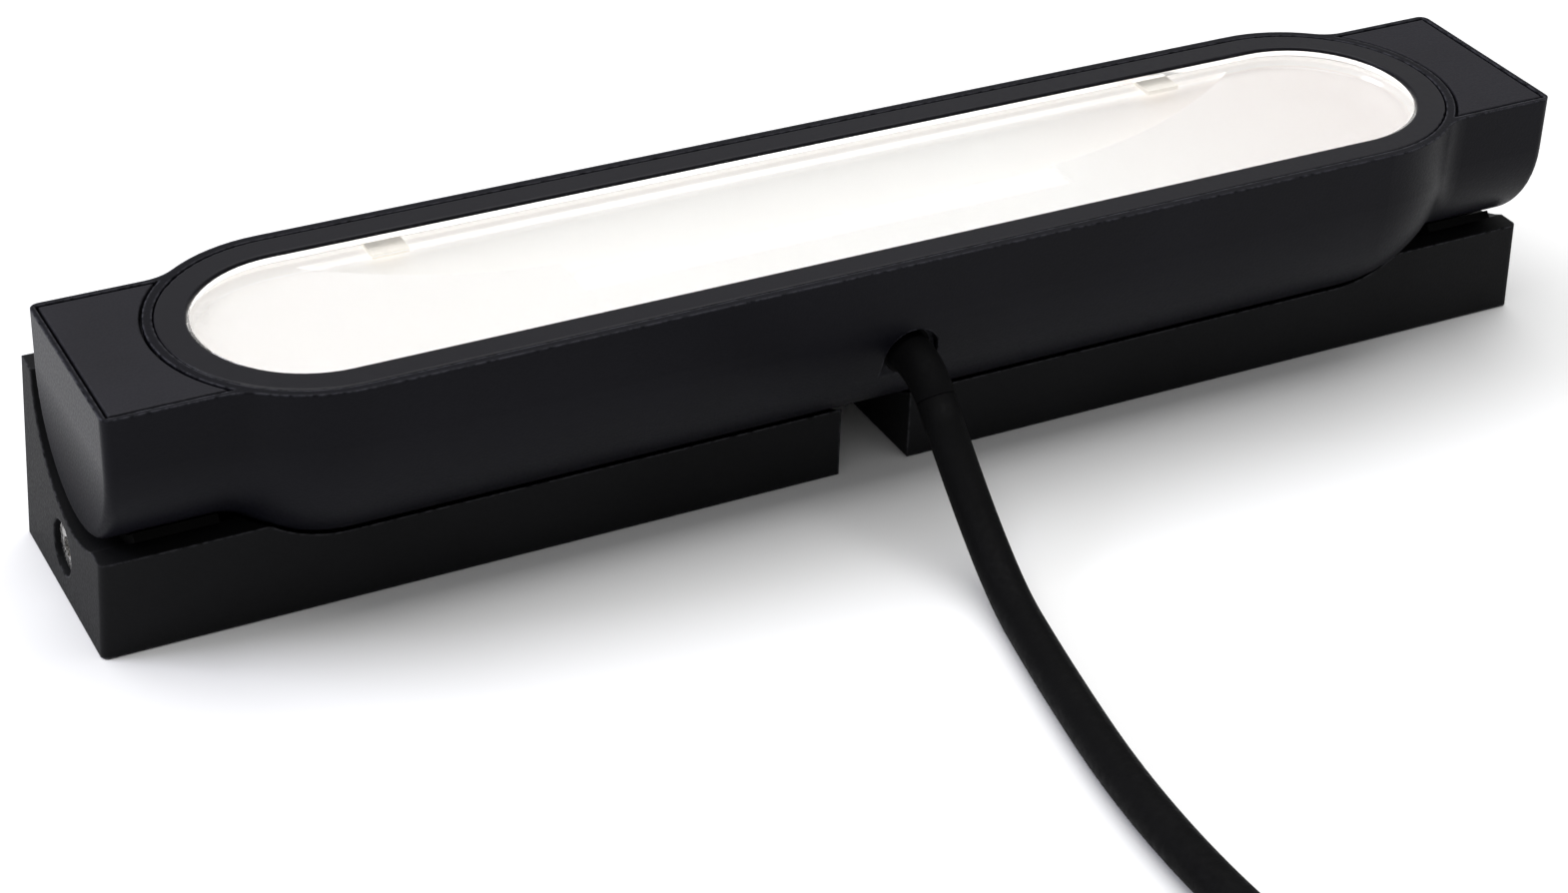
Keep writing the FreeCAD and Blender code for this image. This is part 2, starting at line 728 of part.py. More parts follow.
def tube_along(points, radius):
    """Round solid of a radius along a smooth route, with its length and its bends."""
    path, bends = smooth_route(points)
    first = path.Edges[0]
    direction = first.tangentAt(first.FirstParameter)
    ring = Part.Wire(Part.makeCircle(radius, Vector(*points[0]), direction))
    solid = path.makePipeShell([ring], True, False)
    if solid.Volume < 0:
        solid.reverse()
    return solid, path.Length, bends


def route_node(name, points, radius):
    """Node for a cable or lead, with its length, bends and volume printed for a check."""
    solid, length, bends = tube_along(points, radius)
    feature = doc.addObject("Part::Feature", name)
    feature.Shape = solid
    feature.Placement = Placement()
    fill = solid.Volume / (math.pi * radius ** 2 * length)
    print(f"{name}: length {length:.1f}, volume ratio {fill:.4f}, radii",
          [round(bend, 1) for bend in bends])
    return node(feature, name)


# down out of the boot, along the surface, then into the side of the coil
CABLE_ROUTE = [
    (0.0, -31.36, 22.41),
    (0.0, -50.65, 3.12),
    (-5.6, -78.0, 3.1),
    (-10.0, -106.0, 3.1),
    (-10.4, -133.0, 3.1),
    (-6.6, -157.0, 3.1),
    (-2.8, -169.4, 3.1),
]
# out of the far side of the coil, level with the middle of the plug
TAIL_ROUTE = [
    (-53.7, -230.6, 9.3),
    (-74.0, -230.4, 9.0),
    (-93.8, -226.6, 7.0),
]


def make_cable():
    """Round mains lead: visible stretch, stored coil and the short end at the plug."""
    radius = size("cable_radius")
    route_node("supply_cord", CABLE_ROUTE, radius)
    route_node("cord_tail", TAIL_ROUTE, radius)
    coil = cut(rod("coil_outer", "coil_height", ("coil_x", "coil_y", "0"), "z"),
               rod("coil_inner", "coil_height + 2", ("coil_x", "coil_y", "-1"), "z"))
    node(finish_edges(coil, "Fillet", "0.9 * cable_radius", lambda edge:
                      edge.BoundBox.ZLength < 0.01), "cord_coil")


def make_cable_gland():
    """Moulded boot: a threaded throat through the wall and a tapered nose bent downwards."""
    height, face, bend = size("cable_height"), size("channel_face"), size("boot_bend")
    turn = math.radians(size("boot_turn"))
    start = Vector(0, -face - 1.0, height)
    along = [Vector(0, start.y - bend * math.sin(step), height - bend * (1 - math.cos(step)))
             for step in (0, turn / 2, turn)]
    spine = Part.Wire([Part.LineSegment(Vector(0, -face, height), along[0]).toShape(),
                       Part.Arc(*along).toShape()])
    first = Part.Wire(Part.makeCircle(size("boot_root"), Vector(0, -face, height),
                                      Vector(0, -1, 0)))
    tip_direction = Vector(0, -math.cos(turn), -math.sin(turn))
    last = Part.Wire(Part.makeCircle(size("boot_tip"), along[2], tip_direction))
    nose = doc.addObject("Part::Feature", "Nose")
    nose.Shape = spine.makePipeShell([first, last], True, False)
    throat = rod("throat_radius", "channel_face - boss_face + 3.4",
                 ("0", "-channel_face", "cable_height"), "y")
    node(fuse(nose, throat), "cable_gland")
    nut = cut(rod("nut_radius", "nut_thick", ("0", "-boss_face", "cable_height"), "y"),
              rod("throat_radius", "nut_thick + 2", ("0", "-boss_face - 1", "cable_height"), "y"))
    node(nut, "gland_nut")


def make_leads():
    """Two cores from the cable to the terminal, and one lead to each lampholder."""
    height = size("cable_height")
    route_node("core_live", [(1.4, -15.15, height), (1.4, -12.8, height), (1.8, -10.9, 21.4),
                             (3.4, -6.0, 18.2), (7.2, -3.6, 17.6), (12.5, -3.6, 17.6)], 1.1)
    route_node("core_neutral", [(-1.4, -15.15, height), (-1.4, -12.8, height),
                                (-1.6, -10.6, 21.2), (-0.8, -3.8, 18.2), (2.6, 2.6, 17.6),
                                (7.2, 3.6, 17.6), (12.5, 3.6, 17.6)], 1.1)
    far = size("lamp_end") + size("holder_depth") / 2
    route_node("lead_right", [(25.0, 3.6, 17.6), (32.0, 4.2, 17.6), (42.0, 8.6, 18.2),
                              (55.0, 9.6, 18.8), (far - 2, 9.3, 20.2),
                              (far, 9.3, 22.4), (far, 9.3, 25.4), (far, 5.0, 25.4)], 0.9)
    route_node("lead_left", [(25.0, -3.6, 17.6), (30.4, -3.8, 17.6), (31.4, -7.6, 17.8),
                             (28.0, -10.6, 18.0), (20.0, -10.9, 18.2), (4.0, -10.8, 18.4),
                             (-22.0, -10.2, 18.4), (-42.0, -9.8, 18.6), (-55.0, -9.6, 18.8),
                             (2 - far, -9.3, 20.2), (-far, -9.3, 22.4), (-far, -9.3, 25.4),
                             (-far, -5.0, 25.4)], 0.9)


# plug: half outline from the relief to the pin face (x, y), and its other sizes
PLUG_OUTLINE = ((18.0, 6.5), (26.0, 16.1), (50.0, 17.6), (54.0, 13.6))
PLUG_HALF_THICK = 6.85
PLUG_ROUND = 1.8
RELIEF_RADII = (3.6, 5.2)
RELIEF_LENGTH = 20.0
RELIEF_HEIGHT = 7.0
PIN_RADIUS, PIN_LENGTH, PIN_HALF_GAP, PIN_ROUND = 2.0, 19.0, 9.3, 1.2


def make_plug():
    """Flat two-pin plug lying on the surface beside the coil."""
    tail_end = Vector(*TAIL_ROUTE[-1])
    heading = tail_end - Vector(*TAIL_ROUTE[-2])
    angle = math.degrees(math.atan2(heading.y, heading.x))
    turned = Placement(Vector(tail_end.x, tail_end.y, 0), Rotation(Vector(0, 0, 1), angle))
    forward = Vector(1, 0, 0)
    relief = Part.makeCone(*RELIEF_RADII, RELIEF_LENGTH, Vector(0, 0, RELIEF_HEIGHT), forward)
    outline = [Vector(x, -y, 0) for x, y in PLUG_OUTLINE]
    outline += [Vector(x, y, 0) for x, y in reversed(PLUG_OUTLINE)]
    face = Part.Face(Part.makePolygon(outline + outline[:1]))
    block = face.extrude(Vector(0, 0, 2 * PLUG_HALF_THICK))
    block = block.makeFillet(PLUG_ROUND, block.Edges)
    body = doc.addObject("Part::Feature", "PlugBody")
    body.Shape = block.fuse(relief).removeSplitter()
    body.Placement = turned
    node(body, "plug_body")

    pin_face = PLUG_OUTLINE[-1][0]
    pins = []
    for y in (-PIN_HALF_GAP, PIN_HALF_GAP):
        pin = Part.makeCylinder(PIN_RADIUS, PIN_LENGTH, Vector(pin_face, y, PLUG_HALF_THICK),
                                forward)
        tip = max(pin.Edges, key=lambda edge: edge.BoundBox.Center.x)
        pins.append(pin.makeFillet(PIN_ROUND, [tip]))
    feature = doc.addObject("Part::Feature", "PlugPins")
    feature.Shape = Part.makeCompound(pins)
    feature.Placement = turned
    node(feature, "plug_pins")


# ---------------------------------------------------------------------- cradle

def make_cradle():
    """L-shaped base with a round trough, hollow from below, notched for the cable."""
    profile = doc.addObject("PartDesign::Body", "Body")
    sketch = profile.newObject("Sketcher::SketchObject", "EndDraft")
    sketch.AttachmentSupport = [(origin_plane(profile, "XZ_Plane"), "")]
    sketch.MapMode = "FlatFace"
    sketch.setExpression("AttachmentOffset.Base.z", sized("base_front"))
    half, top, lean = size("base_length") / 2, size("wall_top"), size("end_draft")
    corners = [Vector(-half, 0, 0), Vector(half, 0, 0), Vector(half - lean, top, 0),
               Vector(lean - half, top, 0)]
    for start, end in zip(corners, corners[1:] + corners[:1]):
        sketch.addGeometry(Part.LineSegment(start, end))
    for line in range(4):
        sketch.addConstraint(Sketcher.Constraint("Coincident", line, 2, (line + 1) % 4, 1))
    sketch.addConstraint(Sketcher.Constraint("PointOnObject", 0, 1, -1))
    sketch.addConstraint(Sketcher.Constraint("Symmetric", 0, 1, 0, 2, -1, 1))
    sketch.addConstraint(Sketcher.Constraint("Symmetric", 2, 1, 2, 2, -2))
    bound = (("base", ("DistanceX", 0, 1, 0, 2, 2 * half), "base_length"),
             ("crown", ("DistanceX", 2, 2, 2, 1, 2 * (half - lean)),
              "base_length - 2 * end_draft"),
             ("rise", ("DistanceY", 0, 2, 1, 2, top), "wall_top"))
    for name, rule, expression in bound:
        sketch.renameConstraint(sketch.addConstraint(Sketcher.Constraint(*rule)), name)
        sketch.setExpression(f"Constraints.{name}", sized(expression))
    pad = profile.newObject("PartDesign::Pad", "Pad")
    pad.Profile = sketch
    pad.Reversed = True
    pad.setExpression("Length", sized("base_front + base_back"))
    block = finish_edges(profile, "Fillet", "1.2", lambda edge:
                         edge.BoundBox.ZLength > top - 1 or
                         (edge.BoundBox.ZMin > top - 0.01 and edge.BoundBox.YMin > 0))

    outline = cut(block,
                  full_bar("trough_radius", "base_length"),
                  capsule("trough_bulge"),
                  box(("-base_length", "-2 * base_front", "lip_top"),
                      ("base_length", "0", "2 * wall_top")),
                  back_dip())
    cavity = cut(box(("-cavity_half", "-base_front + shell_wall", "-1"),
                     ("cavity_half", "base_back - shell_wall", "wall_top - 6")),
                 full_bar("trough_radius + shell_wall", "base_length"),
                 capsule("trough_bulge + shell_wall"),
                 box(("-notch_half - shell_wall", "-2 * base_front", "-2"),
                     ("notch_half + shell_wall", "notch_back + shell_wall", "wall_top")))
    tools = [cavity, box(("-notch_half", "-2 * base_front", "-1"),
                         ("notch_half", "notch_back", "wall_top"))]
    for _, side in SIDES:
        tools.append(guide_slot(side))
        centre = ("end_screw_back", "end_screw_height")
        low, high = span(side, "cavity_half - 1", "base_length / 2 + 1")
        tools.append(rod("end_screw_radius + 0.2", f"({high}) - ({low})", (low,) + centre, "x"))
        low, high = span(side, "end_recess_floor", "base_length / 2 + 1")
        tools.append(rod("end_recess_radius", f"({high}) - ({low})", (low,) + centre, "x"))
        tools += rivets(side)
    node(cut(outline, *tools), "cradle")


def back_dip():
    """Lowered stretch of the back wall where the bulge reaches out over it."""
    dip = box(("-dip_half", "0", "dip_top"), ("dip_half", "2 * base_back", "2 * wall_top"))
    low, half = size("dip_top"), size("dip_half")
    return finish_edges(dip, "Fillet", "6", lambda edge:
                        edge.BoundBox.ZMax < low + 0.01 and edge.BoundBox.XLength < 0.01
                        and abs(abs(edge.BoundBox.Center.x) - half) < 0.01)


def guide_slot(side):
    """Curved slot for the tilt screw, through the liner and the trough floor."""
    reach = size("screw_shank") + size("slot_clearance")
    limits = (size("guide_angle") - size("tilt_back") - 1.0,
              size("guide_angle") + size("tilt_forward") + 1.0)
    middle = f"{side} * guide_x"
    ends = [spoke(str(reach), "liner_radius - 2", "trough_radius + shell_wall + 1.5",
                  middle, str(angle)) for angle in limits]
    return fuse(sector("trough_radius + shell_wall + 1.5", f"{middle} - {reach}",
                       f"{middle} + {reach}", *limits), *ends)


LINER_ANGLES = (-40.0, 68.0)
RIVET_ANGLES = (-22.0, 60.0)


def rivets(side):
    """Spokes where the liner is riveted to the trough, front and back."""
    return [spoke("rivet_radius", "liner_radius + 0.1", "trough_radius + shell_wall",
                  f"{side} * guide_x", str(angle)) for angle in RIVET_ANGLES]


def make_liners():
    """Curved bearing strip that each wing slides in."""
    for word, side in SIDES:
        low, high = span(side, "liner_start", "liner_end")
        strip = cut(sector("trough_radius", low, high, *LINER_ANGLES),
                    full_bar("liner_radius", "base_length"))
        node(cut(strip, guide_slot(side), *rivets(side)), f"bearing_liner_{word}")
    node(group(*[rivet for _, side in SIDES for rivet in rivets(side)]), "liner_rivets")


def make_mounting_plate():
    """Steel plate screwed to the wall through two slots; its end tabs take the end screws."""
    inner_gap = "(shell_wall + plate_gap)"
    sheet_plate = box(("-cavity_half + plate_gap", f"-base_front + {inner_gap}", "0"),
                      ("cavity_half - plate_gap", f"base_back - {inner_gap}", "plate_thick"))
    tools = [box((f"-notch_half - {inner_gap}", "-2 * base_front", "-1"),
                 (f"notch_half + {inner_gap}", f"notch_back + {inner_gap}", "3"))]
    tabs = []
    for _, side in SIDES:
        middle, run = f"{side} * slot_centre", "slot_length / 2 - slot_half_width"
        tools.append(box((f"{middle} - ({run})", "-slot_half_width", "-1"),
                         (f"{middle} + {run}", "slot_half_width", "3")))
        tools += [rod("slot_half_width", "4", (f"{middle} {sign} ({run})", "0", "-1"), "z")
                  for sign in "+-"]
        low, high = span(side, "cavity_half - plate_gap - 1.4", "cavity_half - plate_gap")
        tabs.append(box((low, "end_screw_back - 5", "0"), (high, "end_screw_back + 5", "10.6")))
        tools.append(rod("end_screw_radius", "6", (f"{side} * cavity_half - 3",
                                                  "end_screw_back", "end_screw_height"), "x"))
    node(cut(fuse(sheet_plate, *tabs), *tools), "mounting_plate")


def make_end_screws():
    """Socket-head screw sunk in each end face of the cradle."""
    for word, side in SIDES:
        centre = ("end_screw_back", "end_screw_height")
        low, high = span(side, "cavity_half - 1.4", "end_recess_floor")
        shank = rod("end_screw_radius", f"({high}) - ({low})", (low,) + centre, "x")
        low, high = span(side, "end_recess_floor", "end_recess_floor + end_head_height")
        head = rod("end_head_radius", f"({high}) - ({low})", (low,) + centre, "x")
        socket = doc.addObject("Part::Prism", "Socket")
        socket.Polygon = 6
        socket.setExpression("Circumradius", sized("end_socket"))
        socket.Height = 4
        socket.Placement = Placement(Vector(), ALONG["x"])
        low, _ = span(side, "end_recess_floor + 1.2", "end_recess_floor + 5.2")
        at(socket, (low,) + centre)
        node(cut(fuse(shank, head), socket), f"end_screw_{word}")


def make_tilt_screws():
    """Screw, spring washer and saddle washer that clamp each wing into its liner."""
    floor = "trough_radius + shell_wall"
    seat = f"{floor} + saddle_thick + washer_thick"
    for word, side in SIDES:
        x = f"{side} * guide_x"
        hole = spoke("screw_shank", "10", f"{floor} + 4", x, "guide_angle")
        shank = spoke("screw_shank", "9", seat, x, "guide_angle")
        head = spoke("screw_head_radius", seat, f"{seat} + 2.3", x, "guide_angle")
        node(fuse(shank, head), f"tilt_screw_{word}")
        saddle = cut(common(full_bar(f"{floor} + saddle_thick - 0.4", "base_length"),
                            spoke("saddle_radius", "15", f"{floor} + 4", x, "guide_angle")),
                     full_bar(f"{floor} + 0.25", "base_length"), hole)
        node(saddle, f"saddle_washer_{word}")
        ring = cut(spoke("washer_radius", f"{floor} + saddle_thick", seat, x, "guide_angle"),
                   spoke("screw_shank", "10", f"{floor} + 4", x, "guide_angle"))
        node(ring, f"spring_washer_{word}")


# ----------------------------------------------------------------------- build

make_cradle()
make_mounting_plate()
make_end_screws()
make_liners()
make_tilt_screws()
make_head_housing()
make_window_frame()
make_window_glass()
make_glass_gasket()
make_glass_clips()
make_wing_covers()
make_frame_screws()
make_reflector()
make_lamp_carrier()
make_carrier_screws()
make_holder_screws()
make_lamp()
make_lampholders()
make_plungers()
make_terminal_block()
make_cable_gland()
make_leads()
make_cable()
make_plug()
doc.recompute()

for item in doc.Objects:
    if "Invalid" in item.State or "Error" in item.State:
        raise RuntimeError(f"{item.Name} ({item.Label}) failed: {item.State}")
for piece in NODES:
    shape = piece.Shape
    if shape.isNull() or not shape.isValid() or shape.Volume <= 0:
        raise RuntimeError(f"{piece.Label} has no valid solid")

os.makedirs("parts", exist_ok=True)
for piece in NODES:
    piece.Shape.exportStep(f"parts/{piece.Label}.step")
print(len(NODES), "nodes written")
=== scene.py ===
"""Looks of the picture light: camera, mains lead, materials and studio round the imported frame.

Metres, in the part's own frame: +X along the lamp, -Y towards the lead, +Z up.
"""
import json
import math

import bmesh
import bpy
from mathutils import Matrix, Vector


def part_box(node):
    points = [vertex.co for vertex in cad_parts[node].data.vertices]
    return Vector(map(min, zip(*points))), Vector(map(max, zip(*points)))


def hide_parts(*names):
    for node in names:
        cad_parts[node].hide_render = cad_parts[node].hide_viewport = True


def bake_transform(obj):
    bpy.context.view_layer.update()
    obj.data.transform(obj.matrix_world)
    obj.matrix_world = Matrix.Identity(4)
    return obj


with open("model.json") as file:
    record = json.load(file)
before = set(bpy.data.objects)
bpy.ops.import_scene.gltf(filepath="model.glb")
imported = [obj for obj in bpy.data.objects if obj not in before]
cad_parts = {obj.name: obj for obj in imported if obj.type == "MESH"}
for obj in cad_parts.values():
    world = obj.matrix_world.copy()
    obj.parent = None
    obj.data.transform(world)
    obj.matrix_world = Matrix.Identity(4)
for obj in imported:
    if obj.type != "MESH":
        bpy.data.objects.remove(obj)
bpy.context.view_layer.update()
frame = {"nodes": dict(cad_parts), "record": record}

# -------------------------------------------------------------------- camera


def make_camera():
    """The view from the front left, well above the lamp head."""
    data = bpy.data.cameras.new("camera")
    data.sensor_width = 36.0
    data.lens = 77.28
    data.shift_x = 0.0047
    data.shift_y = -0.0837
    data.clip_start, data.clip_end = 0.01, 20.0
    camera = bpy.data.objects.new("camera", data)
    place = Matrix.Translation((-0.22856, -0.40539, 0.28822))
    right = Vector((0.8891, -0.4566, 0.0309)).normalized()
    back = Vector((-0.4095, -0.7636, 0.4992)).normalized()
    up = back.cross(right).normalized()
    camera.matrix_world = place @ Matrix((right, up, back)).transposed().to_4x4()
    bpy.context.scene.collection.objects.link(camera)
    bpy.context.scene.camera = camera


make_camera()

# ------------------------------------------------------------- mesh building


def as_object(name, mesh, smooth=True):
    """Object from a bmesh, which is freed."""
    data = bpy.data.meshes.new(name)
    mesh.to_mesh(data)
    mesh.free()
    if smooth:
        data.polygons.foreach_set("use_smooth", [True] * len(data.polygons))
    piece = bpy.data.objects.new(name, data)
    bpy.context.scene.collection.objects.link(piece)
    return piece


def tube(name, line, radius, sides=20):
    """Closed round tube whose rings stand square on a line of points."""
    mesh = bmesh.new()
    across = Vector((1.0, 0.0, 0.0))
    rings = []
    for index, place in enumerate(line):
        ahead = line[min(index + 1, len(line) - 1)] - line[max(index - 1, 0)]
        ahead.normalize()
        across = (across - ahead * across.dot(ahead)).normalized()
        beside = ahead.cross(across)
        turns = [math.tau * side / sides for side in range(sides)]
        rings.append([mesh.verts.new(place + radius * (
            math.cos(turn) * across + math.sin(turn) * beside)) for turn in turns])
    for near, far in zip(rings, rings[1:]):
        for side in range(sides):
            after = (side + 1) % sides
            mesh.faces.new((near[side], near[after], far[after], far[side]))
    mesh.faces.new(reversed(rings[0]))
    mesh.faces.new(rings[-1])
    bmesh.ops.recalc_face_normals(mesh, faces=mesh.faces)
    return as_object(name, mesh)


# --------------------------------------------------------------- mains lead

CORD_DIAMETER = 0.0062
COIL_CENTRE = Vector((-0.048, -0.184))
COIL_WIDE, COIL_NARROW = 0.0475, 0.0250      # centreline radii
LAYER_LOW, LAYER_HIGH = 0.0031, 0.0093       # centreline heights
LAYER_TURNS = 3.5
COIL_ENTRY, COIL_EXIT = math.radians(17.0), math.radians(-97.0)
CLIMB = math.radians(200.0)                  # swept while rising to the upper layer
TURN_POINTS = 16

# boot, down to the surface, and along it to the coil
ROUTE = [
    (0.0, -0.03136, 0.02241),
    (0.0, -0.05065, 0.00312),
    (-0.0056, -0.078, 0.0031),
    (-0.0100, -0.106, 0.0031),
    (-0.0104, -0.133, 0.0031),
    (-0.0066, -0.157, 0.0031),
]
# out of the coil to the plug
TAIL = [
    (-0.0740, -0.2304, 0.0090),
    (-0.0938, -0.2266, 0.0070),
]


def steps_for(swept):
    """Number of steps for an angle, at TURN_POINTS to a turn."""
    return round(swept / math.tau * TURN_POINTS)


def flat_layer(start, swept, first_radius, last_radius, height):
    """Clockwise spiral at one height, as angles, radii and heights."""
    steps = steps_for(swept)
    shares = [step / steps for step in range(steps + 1)]
    return [(start - share * swept, first_radius + (last_radius - first_radius) * share, height)
            for share in shares]


def coil_points():
    """Two flat layers, wound clockwise: inwards on the surface, then outwards on top."""
    layer_sweep = LAYER_TURNS * math.tau
    points = flat_layer(COIL_ENTRY, layer_sweep, COIL_WIDE, COIL_NARROW, LAYER_LOW)
    inner = points[-1][0]
    steps = steps_for(CLIMB)
    for step in range(1, steps):
        share = step / steps
        rise = share * share * (3 - 2 * share)
        points.append((inner - share * CLIMB, COIL_NARROW,
                       LAYER_LOW + (LAYER_HIGH - LAYER_LOW) * rise))
    start = inner - CLIMB
    part_turn = (start - COIL_EXIT) / math.tau % 1
    upper_sweep = (math.floor(LAYER_TURNS) + part_turn) * math.tau
    points += flat_layer(start, upper_sweep, COIL_NARROW, COIL_WIDE, LAYER_HIGH)
    return [(COIL_CENTRE.x + radius * math.cos(angle), COIL_CENTRE.y + radius * math.sin(angle),
             height) for angle, radius, height in points]


def smooth_line(name, points):
    """Points along one NURBS spline through the lead's control points."""
    data = bpy.data.curves.new(name, "CURVE")
    data.dimensions = "3D"
    data.resolution_u = 12
    spline = data.splines.new("NURBS")
    spline.points.add(len(points) - 1)
    for point, place in zip(spline.points, points):
        point.co = (*place, 1.0)
    spline.order_u = 3
    spline.use_endpoint_u = True
    holder = bpy.data.objects.new(name, data)
    bpy.context.scene.collection.objects.link(holder)
    mesh = bpy.data.meshes.new_from_object(holder)
    line = [vertex.co.copy() for vertex in mesh.vertices]
    bpy.data.objects.remove(holder)
    bpy.data.meshes.remove(mesh)
    return line


def make_lead():
    """The whole lead in one piece: visible stretch, coil and tail."""
    line = smooth_line("lead_route", ROUTE + coil_points() + TAIL)
    lead = tube("mains_lead", line, CORD_DIAMETER / 2)
    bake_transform(lead)
    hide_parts("supply_cord", "cord_coil", "cord_tail")
    return lead


lead = make_lead()

# ---------------------------------------------------------- contact springs

SPRING_WIRE = 0.00024                        # wire radius
SPRING_TURNS = 5
SPRING_TURN_POINTS = 24


def make_contact_spring(word):
    """Wound spring between a contact plunger and the bottom of its bore."""
    low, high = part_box(f"contact_spring_{word}")
    middle_y, middle_z = (low[1] + high[1]) / 2, (low[2] + high[2]) / 2
    near, far = sorted((low[0], high[0]), key=abs)
    inset = math.copysign(SPRING_WIRE, far)
    near, far = near + inset, far - inset
    radius = (high[1] - low[1]) / 2 - SPRING_WIRE
    steps = SPRING_TURNS * SPRING_TURN_POINTS
    line = []
    for step in range(steps + 1):
        turn = math.tau * SPRING_TURNS * step / steps
        line.append(Vector((near + (far - near) * step / steps,
                            middle_y + radius * math.cos(turn),
                            middle_z + radius * math.sin(turn))))
    spring = tube(f"spring_{word}", line, SPRING_WIRE, sides=10)
    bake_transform(spring)
    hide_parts(f"contact_spring_{word}")
    return spring


springs = [make_contact_spring(word) for word in ("left", "right")]

# ---------------------------------------------------------------- materials

HEAD_END = 0.1250                                # half the head's length
BULGE_CENTRE, SIGHT_RADIUS = 0.0880, 0.0179      # the window is a stadium


class Finish:
    """A Principled material with short ways to add nodes to it."""

    def __init__(self, name, colour, roughness, metallic=0.0, **sockets):
        self.material = bpy.data.materials.new(name)
        self.material.use_nodes = True
        self.tree = self.material.node_tree
        self.shader = self.tree.nodes["Principled BSDF"]
        self.shader.inputs["Base Color"].default_value = (*colour, 1.0)
        self.shader.inputs["Roughness"].default_value = roughness
        self.shader.inputs["Metallic"].default_value = metallic
        for socket, value in sockets.items():
            self.shader.inputs[socket.replace("_", " ")].default_value = value
        self.place = self.add("ShaderNodeTexCoord").outputs["Object"]
        self.normal = None

    def add(self, kind, **settings):
        """A new node with its settings."""
        node = self.tree.nodes.new(kind)
        for name, value in settings.items():
            setattr(node, name, value)
        return node

    def feed(self, source, socket):
        """Link a source to a socket, or set the socket if the source is a number."""
        if isinstance(source, (int, float)):
            socket.default_value = source
        else:
            self.tree.links.new(source, socket)

    def reckon(self, operation, *sources, clamp=False):
        """Result of one operation on numbers or sources."""
        node = self.add("ShaderNodeMath", operation=operation, use_clamp=clamp)
        for source, socket in zip(sources, node.inputs):
            self.feed(source, socket)
        return node.outputs["Value"]

    def axes(self, vector):
        """The X, Y and Z of a vector."""
        apart = self.add("ShaderNodeSeparateXYZ")
        self.feed(vector, apart.inputs["Vector"])
        return apart.outputs["X"], apart.outputs["Y"], apart.outputs["Z"]

    def noise(self, per_metre, detail=3.0, stretch=(1, 1, 1)):
        """Noise of a scale per metre, stretched along the axes."""
        where = self.add("ShaderNodeMapping")
        self.feed(self.place, where.inputs["Vector"])
        where.inputs["Scale"].default_value = stretch
        noise = self.add("ShaderNodeTexNoise")
        self.feed(where.outputs["Vector"], noise.inputs["Vector"])
        noise.inputs["Scale"].default_value = per_metre
        noise.inputs["Detail"].default_value = detail
        return noise.outputs["Fac"]

    def cells(self, per_metre):
        """Rounded cells, as in a textured powder coat."""
        cells = self.add("ShaderNodeTexVoronoi", feature="SMOOTH_F1")
        self.feed(self.place, cells.inputs["Vector"])
        cells.inputs["Scale"].default_value = per_metre
        return cells.outputs["Distance"]

    def remap(self, source, low, high, new_low=0.0, new_high=1.0):
        """Source from low..high to new_low..new_high, clamped."""
        remap = self.add("ShaderNodeMapRange")
        self.feed(source, remap.inputs["Value"])
        for name, value in (("From Min", low), ("From Max", high),
                            ("To Min", new_low), ("To Max", new_high)):
            remap.inputs[name].default_value = value
        return remap.outputs["Result"]

    def blend(self, share, first, second):
        """Colour from first to second as share goes from 0 to 1."""
        mix = self.add("ShaderNodeMix", data_type="RGBA")
        self.feed(share, mix.inputs["Factor"])
        for socket, colour in ((mix.inputs[6], first), (mix.inputs[7], second)):
            if isinstance(colour, tuple):
                socket.default_value = (*colour, 1.0)
            else:
                self.feed(colour, socket)
        return mix.outputs[2]

    def colour(self, source):
        """Take the base colour from a source."""
        self.feed(source, self.shader.inputs["Base Color"])

    def rough(self, source):
        """Take the roughness from a source."""
        self.feed(source, self.shader.inputs["Roughness"])

    def uneven(self, noise, middle, below, above):
        """Roughness that wanders about a middle value with a noise."""
        return self.remap(noise, 0.3, 0.7, middle - below, middle + above)

    def bump(self, height, depth, strength=1.0):
        """Add relief, in metres, on top of what is there."""
        bump = self.add("ShaderNodeBump")
        bump.inputs["Strength"].default_value = strength
        bump.inputs["Distance"].default_value = depth
        self.feed(height, bump.inputs["Height"])
        if self.normal is not None:
            self.feed(self.normal, bump.inputs["Normal"])
        self.normal = bump.outputs["Normal"]
        self.feed(self.normal, self.shader.inputs["Normal"])

    def soft_edges(self, radius):
        """Round the edges in the shading; returns how near an edge is, 0 to 1."""
        bevel = self.add("ShaderNodeBevel", samples=6)
        bevel.inputs["Radius"].default_value = radius
        flat = self.add("ShaderNodeNewGeometry").outputs["Normal"]
        turn = self.add("ShaderNodeVectorMath", operation="DOT_PRODUCT")
        self.feed(bevel.outputs["Normal"], turn.inputs[0])
        self.feed(flat, turn.inputs[1])
        self.normal = bevel.outputs["Normal"]
        self.feed(self.normal, self.shader.inputs["Normal"])
        return self.remap(turn.outputs["Value"], 0.995, 0.80)


def scaled(colour, factor):
    """A colour made lighter or darker."""
    return tuple(factor * channel for channel in colour)


def dry_ends(finish, gloss):
    """A roughness that rises towards the bottom of the two end faces."""
    along, _, height = finish.axes(finish.place)
    outwards = finish.reckon("ABSOLUTE", along)
    at_end = finish.remap(outwards, HEAD_END - 0.0010, HEAD_END - 0.0001, 0.0, 0.46)
    low = finish.remap(height, 0.016, 0.034, 1.0, 0.0)
    share = finish.reckon("MULTIPLY", at_end, low)
    return finish.reckon("ADD", share, gloss, clamp=True)


